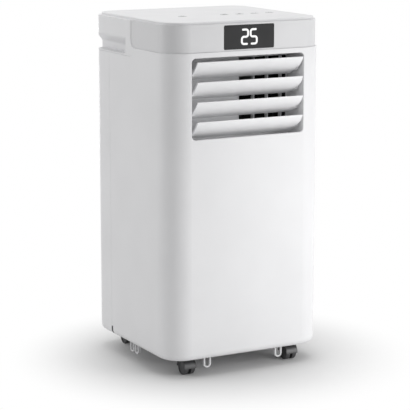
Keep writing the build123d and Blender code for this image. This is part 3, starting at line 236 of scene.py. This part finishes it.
finishes = {
    "cabinet_white": dict(colour=(0.81, 0.81, 0.82), rough=0.45, specular=0.35),
    "band_grey": dict(colour=(0.69, 0.69, 0.70), rough=0.45),
    "lid_white": dict(colour=(0.80, 0.80, 0.81), rough=0.45, specular=0.3),
    "key_white": dict(colour=(0.76, 0.76, 0.77), rough=0.45, specular=0.3),
    "smoked_window": dict(colour=(0.030, 0.030, 0.031), rough=0.5, grain_strength=0.03, specular=0.15),
    "louvre_white": dict(colour=(0.90, 0.90, 0.91), rough=0.38),
    "link_white": dict(colour=(0.72, 0.72, 0.73), rough=0.45),
    "duct_white": dict(colour=(0.93, 0.93, 0.94), rough=0.5),
    "grille_grey": dict(colour=(0.85, 0.85, 0.86), rough=0.5),
    "hood_black": dict(colour=(0.012, 0.012, 0.012), rough=0.8),
    "intake_white": dict(colour=(0.78, 0.78, 0.79), rough=0.45),
    "collar_white": dict(colour=(0.76, 0.76, 0.77), rough=0.45),
    "gland_dark": dict(colour=(0.04, 0.04, 0.04), rough=0.6),
    "screw_steel": dict(colour=(0.55, 0.55, 0.56), rough=0.35, metal=1.0),
    "pan_grey": dict(colour=(0.45, 0.45, 0.46), rough=0.55),
    "loop_pale": dict(colour=(0.68, 0.68, 0.69), rough=0.5),
    "plug_rubber": dict(colour=(0.05, 0.05, 0.05), rough=0.7),
    "castor_hood_grey": dict(colour=(0.075, 0.075, 0.077), rough=0.42),
    "castor_wheel_grey": dict(colour=(0.06, 0.06, 0.062), rough=0.5),
    "sheet_steel": dict(colour=(0.55, 0.56, 0.57), rough=0.4, vary=0.1, vary_scale=60, metal=1.0),
    "foam_white": dict(colour=(0.75, 0.75, 0.75), rough=0.8, grain=260, grain_strength=0.5,
                       grain_depth=0.6 * MM),
    "fan_black": dict(colour=(0.04, 0.04, 0.042), rough=0.5),
    "motor_metal": dict(colour=(0.5, 0.5, 0.51), rough=0.4, metal=1.0),
    "compressor_black": dict(colour=(0.02, 0.02, 0.02), rough=0.3, coat=0.3),
    "grommet_rubber": dict(colour=(0.03, 0.03, 0.03), rough=0.75),
    "copper": dict(colour=(0.62, 0.30, 0.17), rough=0.3, vary=0.12, vary_scale=40, metal=1.0),
    "box_plastic": dict(colour=(0.62, 0.62, 0.62), rough=0.55),
    "pump_grey": dict(colour=(0.15, 0.15, 0.16), rough=0.55),
}
# The dark gap colours paint the shade between the filter's threads and between the coil's fins
striped_finishes = {
    "filter_mesh": dict(colour=(0.20, 0.21, 0.22), gap_shade_colour=(0.03, 0.03, 0.03), pitch=1.6 * MM,
                        axes="XZ", rough=0.6, metal=0.0),
    "coil_aluminium": dict(colour=(0.68, 0.69, 0.70), gap_shade_colour=(0.08, 0.08, 0.085), pitch=1.8 * MM,
                           axes="X", rough=0.4, metal=0.7),
}
looks = {name: surface(name, **finish) for name, finish in finishes.items()}
for name, finish in striped_finishes.items():
    looks[name] = striped(name, **finish)
looks["board_green"] = circuit("board_green")

for subpart in frame["record"]["subparts"]:
    node = frame["nodes"][subpart["node"]]
    node.data.materials.clear()
    node.data.materials.append(looks[subpart["material_slot"]])


# Helpers for the pieces that the scene adds

STROKE_STEPS = 8


def piece(name, mesh, body, material):
    """Put a mesh in the scene as a piece that moves with a body."""
    thing = bpy.data.objects.new(name, mesh)
    scene.collection.objects.link(thing)
    mesh.materials.append(material)
    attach(thing, body)


def turned(point, angle):
    """A 2-D point turned about the origin."""
    return Vector((
        point.x * math.cos(angle) - point.y * math.sin(angle),
        point.x * math.sin(angle) + point.y * math.cos(angle),
    ))


def rounded_path(corners, radius):
    """Corner points with each inner corner rounded, as a list of 2-D points."""
    points = [Vector(corners[0])]
    for before, corner, after in zip(corners, corners[1:], corners[2:]):
        corner = Vector(corner)
        back = (Vector(before) - corner).normalized()
        ahead = (Vector(after) - corner).normalized()
        turn = back.angle(ahead)
        reach = radius / math.tan(turn / 2)
        centre = corner + (back + ahead).normalized() * (radius / math.sin(turn / 2))
        start = corner + back * reach - centre
        end = corner + ahead * reach - centre
        sweep = -start.angle_signed(end)
        for index in range(STROKE_STEPS + 1):
            points.append(centre + turned(start, sweep * index / STROKE_STEPS))
    points.append(Vector(corners[-1]))
    return points


def stroke_outline(points, width):
    """Closed outline of a round-ended stroke along a path."""
    half = width / 2
    normals = []
    for index in range(len(points)):
        ahead = points[min(index + 1, len(points) - 1)] - points[max(index - 1, 0)]
        ahead.normalize()
        normals.append(Vector((-ahead.y, ahead.x)))

    def round_end(point, normal):
        angles = [-math.pi * index / STROKE_STEPS for index in range(1, STROKE_STEPS)]
        return [point + half * turned(normal, angle) for angle in angles]

    left_side = [point + normal * half for point, normal in zip(points, normals)]
    far_end = round_end(points[-1], normals[-1])
    right_side = [point - normal * half for point, normal in zip(points, normals)]
    near_end = round_end(points[0], -normals[0])
    return left_side + far_end + right_side[::-1] + near_end


def loft(name, stacks):
    """Closed solids, each through its own stack of matching loops of points."""
    mesh = bpy.data.meshes.new(name)
    shape = bmesh.new()
    for stack in stacks:
        rings = [[shape.verts.new(point) for point in loop] for loop in stack]
        shape.faces.new(rings[0][::-1])
        shape.faces.new(rings[-1])
        for ring, following in zip(rings, rings[1:]):
            for index in range(len(ring)):
                after = (index + 1) % len(ring)
                shape.faces.new((ring[index], ring[after], following[after], following[index]))
    bmesh.ops.recalc_face_normals(shape, faces=shape.faces)
    shape.to_mesh(mesh)
    shape.free()
    return mesh


def plate(name, outlines, place, thickness):
    """Closed outlines raised by a thickness, where place maps (u, v, height) to the frame."""
    return loft(name, [
        [[place(u, v, height) for u, v in outline] for height in (0.0, thickness)]
        for outline in outlines
    ])


# Lit digits on the display window

DIGIT_WIDTH = 17.8 * MM
DIGIT_HEIGHT = 31.9 * MM
DIGIT_STROKE = 4.0 * MM
DIGIT_CORNER = 4.6 * MM
DIGIT_GAP = 1.8 * MM
DIGIT_THICKNESS = 0.25 * MM
# How far the pair stands to the right of the window's middle
DIGIT_SHIFT = 2.3 * MM
# How far a stroke's open end stops short of the digit's side
DIGIT_SHORT = 2.4 * MM
GLOW_COLOUR = (1, 1, 1)
GLOW_STRENGTH = 0.93
half_width = (DIGIT_WIDTH - DIGIT_STROKE) / 2
half_height = (DIGIT_HEIGHT - DIGIT_STROKE) / 2
open_end = 1 - DIGIT_SHORT / half_width
window_low, window_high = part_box("display_window")
window_z = (window_low.z + window_high.z) / 2
lit = glow("display_lit", GLOW_COLOUR, GLOW_STRENGTH)


def digit(name, side, corners):
    """One bent stroke through corners given in shares of the digit's half width and half height."""
    centre_x = DIGIT_SHIFT + side * (DIGIT_WIDTH + DIGIT_GAP) / 2
    path = rounded_path([(u * half_width, v * half_height) for u, v in corners], DIGIT_CORNER)

    def on_window(u, v, height):
        return (centre_x + u, window_low.y - height, window_z + v)

    mesh = plate(name, [stroke_outline(path, DIGIT_STROKE)], on_window, DIGIT_THICKNESS)
    piece(name, mesh, "cabinet", lit)


digit("digit_tens", -1, [(-open_end, 1), (1, 1), (1, 0), (-1, 0), (-1, -1), (open_end, -1)])
digit("digit_units", 1, [(open_end, 1), (-1, 1), (-1, 0), (1, 0), (1, -1), (-open_end, -1)])


# Signs on the keys, whose points are in shares of a sign's half size

ICON_STROKE = 1.6 * MM
ICON_HEIGHT = 0.08 * MM
ICON_HALF = 3.2 * MM
ICON_ARC_STEPS = 20
MODE_REACH = 1.3
MODE_PITCH = 0.8
POWER_RING = (130, 410)
POWER_BAR_LOW = 0.25
POWER_BAR_HIGH = 1.25
FAN_BLADE_ANGLES = (90, 210, 330)
FAN_BLADE_SWEEP = 110
FAN_BLADE_PLACE = 0.5
FAN_BLADE_SIZE = 0.55
ARROW_REACH = 1.3
ARROW_FOOT = 0.55
ARROW_TIP = 0.65
ink = surface("key_ink", (0.025, 0.025, 0.027), 0.6, vary=0.15, vary_scale=200)


def line(*corners):
    """Straight runs through the given points."""
    return [ICON_HALF * Vector(corner) for corner in corners]


def arc(start, end, size=1.0, centre=Vector((0, 0))):
    """Arc about a centre from one angle to another, in degrees."""
    points = []
    for index in range(ICON_ARC_STEPS + 1):
        angle = math.radians(start + (end - start) * index / ICON_ARC_STEPS)
        points.append(ICON_HALF * (centre + size * Vector((math.cos(angle), math.sin(angle)))))
    return points


def fan_blade(angle):
    """One blade of the fan sign, a bow open towards the middle."""
    turn = math.radians(angle)
    centre = FAN_BLADE_PLACE * Vector((math.cos(turn), math.sin(turn)))
    return arc(angle - FAN_BLADE_SWEEP, angle + FAN_BLADE_SWEEP, FAN_BLADE_SIZE, centre)


def arrow(up):
    """Open arrow head that points up for 1 and down for -1."""
    return line((-ARROW_REACH, -up * ARROW_FOOT), (0, up * ARROW_TIP), (ARROW_REACH, -up * ARROW_FOOT))


icons = {
    "power": [arc(*POWER_RING), line((0, POWER_BAR_LOW), (0, POWER_BAR_HIGH))],
    "mode": [line((-MODE_REACH, v), (MODE_REACH, v)) for v in (MODE_PITCH, 0, -MODE_PITCH)],
    "fan": [fan_blade(angle) for angle in FAN_BLADE_ANGLES],
    "down": [arrow(-1)],
    "up": [arrow(1)],
}


def key_sign(name, key, paths):
    """Ink strokes on the top of a key."""
    low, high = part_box(key)
    middle = (low + high) / 2

    def on_key(u, v, height):
        return (middle.x + u, middle.y + v, high.z + height - ICON_HEIGHT / 2)

    outlines = [stroke_outline(path, ICON_STROKE) for path in paths]
    piece(name, plate(name, outlines, on_key, ICON_HEIGHT), key, ink)


for icon, paths in icons.items():
    key_sign("icon_" + icon, "key_" + icon, paths)


# Dark strips over the pry slots at the foot of the side seams, painted shade that stands for the slots'
# dark gaps, with a thin lip past the slots' edges

SLOT_SHADE_PROUD = 0.15 * MM
SLOT_SHADE_THICKNESS = 0.3 * MM
SLOT_SHADE_FRONT = 4.5 * MM
SLOT_SHADE_BACK = 1.5 * MM
SLOT_SHADE_RISE = 7.0 * MM
SLOT_SHADE_STEPS = 12
SHELL_ROUND = 12.0 * MM
shell_low, shell_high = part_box("front_shell")
# Near-black look of the strips: painted shade of the gaps in the pry slots
slot_shade_look = surface("painted_slot_shade", (0.03, 0.03, 0.032), 0.9, vary=0.2, vary_scale=400, grain=900,
               grain_strength=0.4, grain_depth=0.3 * MM)


def slot_shade_profile(inset):
    """Points up the shell's rounded foot, as (inset from the side, height)."""
    radius = SHELL_ROUND - inset
    points = []
    for index in range(SLOT_SHADE_STEPS + 1):
        angle = math.radians(90 * index / SLOT_SHADE_STEPS)
        points.append((SHELL_ROUND - radius * math.sin(angle), SHELL_ROUND - radius * math.cos(angle)))
    points.append((inset, SHELL_ROUND + SLOT_SHADE_RISE))
    return points


def slot_shade_strip(name, side):
    """Strip of painted slot shade that follows the shell's foot, on the left for -1 and on the right for
    1.
    """
    outer = slot_shade_profile(-SLOT_SHADE_PROUD)
    inner = slot_shade_profile(SLOT_SHADE_THICKNESS - SLOT_SHADE_PROUD)

    def by_seam(u, v, along):
        return (side * (shell_high.x - u), shell_high.y - SLOT_SHADE_FRONT + along, shell_low.z + v)

    piece(name, plate(name, [outer + inner[::-1]], by_seam, SLOT_SHADE_FRONT + SLOT_SHADE_BACK), "cabinet", slot_shade_look)


slot_shade_strip("seam_seal_left", -1)
slot_shade_strip("seam_seal_right", 1)


# Soft edges where the handles and the shell stand out past the band

BAND_LAP = 5.5 * MM
BAND_SINK = 2.8 * MM
BAND_CORNER = 12.0 * MM
EDGE_STRIP = 1.25 * MM
EDGE_SPREAD = 5.0 * MM
# Share of the spread that is gone at the foot of the corner, where the edge ends
EDGE_TAPER = 0.9
EDGE_STEPS = 10
CORNER_STEPS = 12
band_low, band_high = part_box("top_band")
edge_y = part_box("left_handle")[0].y - EDGE_STRIP
corner_y = edge_y - BAND_CORNER
corner_z = band_low.z + BAND_LAP + BAND_CORNER


def edge_section(side, y, z, ahead_y, ahead_z):
    """Loop that falls from the shell's skin at (y, z) to the band's skin ahead of it."""
    loop = []
    for index in range(EDGE_STEPS + 1):
        share = index / EDGE_STEPS
        drop = BAND_SINK * share * share * (3 - 2 * share)
        loop.append((side * (shell_high.x - drop), y + ahead_y * share, z + ahead_z * share))
    loop.append((side * (shell_high.x - BAND_SINK), y, z))
    return loop


def band_edge(name, side):
    """Edge down the handle's front and round the corner below, on the left for -1 and the right for 1."""
    sections = [edge_section(side, edge_y, band_high.z, -EDGE_SPREAD, 0.0)]
    for index in range(CORNER_STEPS + 1):
        angle = math.radians(-90 * index / CORNER_STEPS)
        across, down = math.cos(angle), math.sin(angle)
        spread = EDGE_SPREAD * (1 - EDGE_TAPER * index / CORNER_STEPS)
        y = corner_y + BAND_CORNER * across
        z = corner_z + BAND_CORNER * down
        sections.append(edge_section(side, y, z, -spread * across, -spread * down))
    piece(name, loft(name, [sections]), "cabinet", looks["cabinet_white"])


band_edge("band_edge_left", -1)
band_edge("band_edge_right", 1)


# Flat dark crosses on the heads of the cover screws, painted shade of their cross recesses

RECESS_LONG = 4.4 * MM
RECESS_WIDE = 1.2 * MM
RECESS_PROUD = 0.06 * MM
# Angle of the first recess and the turn from each to the next, in degrees
RECESS_ANGLE = 20
RECESS_TURN = 35
SCREW_SIDE_X = -118.0 * MM
SCREW_LOW_Z = 300.0 * MM
SCREW_MIDDLE_Z = 380.0 * MM
SCREW_TOP_X = 60.0 * MM
SCREW_TOP_Z = 655.0 * MM
screw_places = [
    (SCREW_SIDE_X, SCREW_LOW_Z),
    (SCREW_SIDE_X, SCREW_MIDDLE_Z),
    (-SCREW_TOP_X, SCREW_TOP_Z),
    (SCREW_TOP_X, SCREW_TOP_Z),
]
screw_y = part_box("cover_screws")[1].y
# Near-black colour of the crosses: painted shade in the screws' recesses
recess_shade_look = surface("painted_recess_shade", (0.02, 0.02, 0.02), 0.7, vary=0.2, vary_scale=300)


def cross_outline(length, width):
    """Outline of an upright cross, an arm's end and the corner after it four times round."""
    arm = [(-width / 2, -length / 2), (width / 2, -length / 2), (width / 2, -width / 2)]
    outline = []
    for _ in range(4):
        outline += arm
        arm = [(-v, u) for u, v in arm]
    return outline


def screw_recess_shade(name, screw_x, screw_z, angle):
    """Dark cross on a screw's head, painted shade of its recess."""
    turn = math.radians(angle)

    def on_head(u, v, height):
        across = turned(Vector((u, v)), turn)
        return (screw_x + across.x, screw_y + height - RECESS_PROUD / 2, screw_z + across.y)

    cross = cross_outline(RECESS_LONG, RECESS_WIDE)
    piece(name, plate(name, [cross], on_head, RECESS_PROUD), "cabinet", recess_shade_look)


for index, (screw_x, screw_z) in enumerate(screw_places):
    screw_recess_shade(f"screw_recess_shade_{index + 1}", screw_x, screw_z, RECESS_ANGLE + RECESS_TURN * index)


# Camera

CAMERA_AZIMUTH = math.radians(-28.46)
CAMERA_ELEVATION = math.radians(10.957)
CAMERA_DISTANCE = 3.608
CAMERA_LENS = 153.54
CAMERA_SENSOR = 36.0
CAMERA_REACH = 100.0
CAMERA_AIM = Vector((-0.00345, 0.00187, 0.3106))

towards_camera = Vector((
    math.sin(CAMERA_AZIMUTH) * math.cos(CAMERA_ELEVATION),
    -math.cos(CAMERA_AZIMUTH) * math.cos(CAMERA_ELEVATION),
    math.sin(CAMERA_ELEVATION),
))
camera_data = bpy.data.cameras.new("camera")
camera_data.lens = CAMERA_LENS
camera_data.sensor_width = CAMERA_SENSOR
camera_data.clip_end = CAMERA_REACH
camera = bpy.data.objects.new("camera", camera_data)
camera.location = CAMERA_AIM + towards_camera * CAMERA_DISTANCE
camera.rotation_mode = "QUATERNION"
camera.rotation_quaternion = (-towards_camera).to_track_quat("-Z", "Y")
scene.collection.objects.link(camera)
scene.camera = camera


# Lamps, with the key and the rear one below the lid's height, so that they don't glare on it

LAMP_AIM = Vector((0.0, 0.0, 0.35))


def lamp(name, place, width, height, power):
    """Soft rectangular lamp aimed at the object's middle."""
    data = bpy.data.lights.new(name, "AREA")
    data.shape = "RECTANGLE"
    data.size = width
    data.size_y = height
    data.energy = power
    thing = bpy.data.objects.new(name, data)
    thing.location = place
    thing.rotation_mode = "QUATERNION"
    thing.rotation_quaternion = (LAMP_AIM - Vector(place)).to_track_quat("-Z", "Y")
    scene.collection.objects.link(thing)


lamp("key", place=(0.65, -0.95, 0.36), width=0.5, height=0.68, power=5.6)
lamp("fill", place=(-1.7, 1.0, 0.9), width=1.0, height=1.5, power=7.9)
lamp("top", place=(0.2, 0.1, 2.4), width=1.6, height=1.6, power=14.6)
lamp("rear", place=(0.8, 2.2, 0.34), width=1.6, height=0.6, power=9.0)


# Floor and world

FLOOR_HALF = 30.0
FLOOR_COLOUR = (0.78, 0.78, 0.78, 1)
FLOOR_ROUGHNESS = 0.9
# The floor fades to white between two distances from a point just ahead of the object's middle
SHADOW_MIDDLE_Y = -0.03
SHADOW_NEAR = 0.15
SHADOW_FAR = 0.43
WORLD_COLOUR = (1, 1, 1, 1)
WORLD_LIGHT = 0.49
BACKGROUND_WHITE = 1.0


def background_rays(tree):
    """1 for the rays that should see a white background, and 0 for the light that falls on the object."""
    rays = tree.nodes.new("ShaderNodeLightPath")
    total = rays.outputs["Is Camera Ray"]
    for kind in ("Is Glossy Ray", "Is Transmission Ray"):
        total = calculated(tree, "MAXIMUM", total, rays.outputs[kind])
    return total


def floor_material():
    """Pale floor that keeps the object's shadow and turns to the background's white away from it."""
    material, tree, shader = new_material("floor_white")
    shader.inputs["Base Color"].default_value = FLOOR_COLOUR
    shader.inputs["Roughness"].default_value = FLOOR_ROUGHNESS
    shader.inputs["Specular IOR Level"].default_value = 0.0
    place = tree.nodes.new("ShaderNodeTexCoord")
    offset = tree.nodes.new("ShaderNodeMapping")
    offset.inputs["Location"].default_value = (0, -SHADOW_MIDDLE_Y, 0)
    radius = tree.nodes.new("ShaderNodeVectorMath")
    radius.operation = "LENGTH"
    rise = tree.nodes.new("ShaderNodeMapRange")
    rise.interpolation_type = "SMOOTHSTEP"
    rise.inputs["From Min"].default_value = SHADOW_NEAR
    rise.inputs["From Max"].default_value = SHADOW_FAR
    white = tree.nodes.new("ShaderNodeEmission")
    fade = tree.nodes.new("ShaderNodeMixShader")
    tree.links.new(place.outputs["Object"], offset.inputs["Vector"])
    tree.links.new(offset.outputs["Vector"], radius.inputs[0])
    tree.links.new(radius.outputs["Value"], rise.inputs["Value"])
    seen = calculated(tree, "MULTIPLY", background_rays(tree), rise.outputs["Result"])
    tree.links.new(seen, fade.inputs["Fac"])
    tree.links.new(shader.outputs["BSDF"], fade.inputs[1])
    tree.links.new(white.outputs["Emission"], fade.inputs[2])
    tree.links.new(fade.outputs["Shader"], tree.nodes["Material Output"].inputs["Surface"])
    return material


floor_mesh = bpy.data.meshes.new("floor")
floor_corners = [(u * FLOOR_HALF, v * FLOOR_HALF, 0) for u, v in ((-1, -1), (1, -1), (1, 1), (-1, 1))]
floor_mesh.from_pydata(floor_corners, [], [(0, 1, 2, 3)])
floor_mesh.materials.append(floor_material())
floor = bpy.data.objects.new("floor", floor_mesh)
scene.collection.objects.link(floor)

world = bpy.data.worlds.new("world")
scene.world = world
world.use_nodes = True
sky = world.node_tree
sky.nodes.clear()
sky_output = sky.nodes.new("ShaderNodeOutputWorld")
sky_light = sky.nodes.new("ShaderNodeBackground")
sky_light.inputs["Color"].default_value = WORLD_COLOUR
sky_level = sky.nodes.new("ShaderNodeMapRange")
sky_level.inputs["To Min"].default_value = WORLD_LIGHT
sky_level.inputs["To Max"].default_value = BACKGROUND_WHITE
sky.links.new(background_rays(sky), sky_level.inputs["Value"])
sky.links.new(sky_level.outputs["Result"], sky_light.inputs["Strength"])
sky.links.new(sky_light.outputs["Background"], sky_output.inputs["Surface"])

scene.view_settings.view_transform = "Standard"
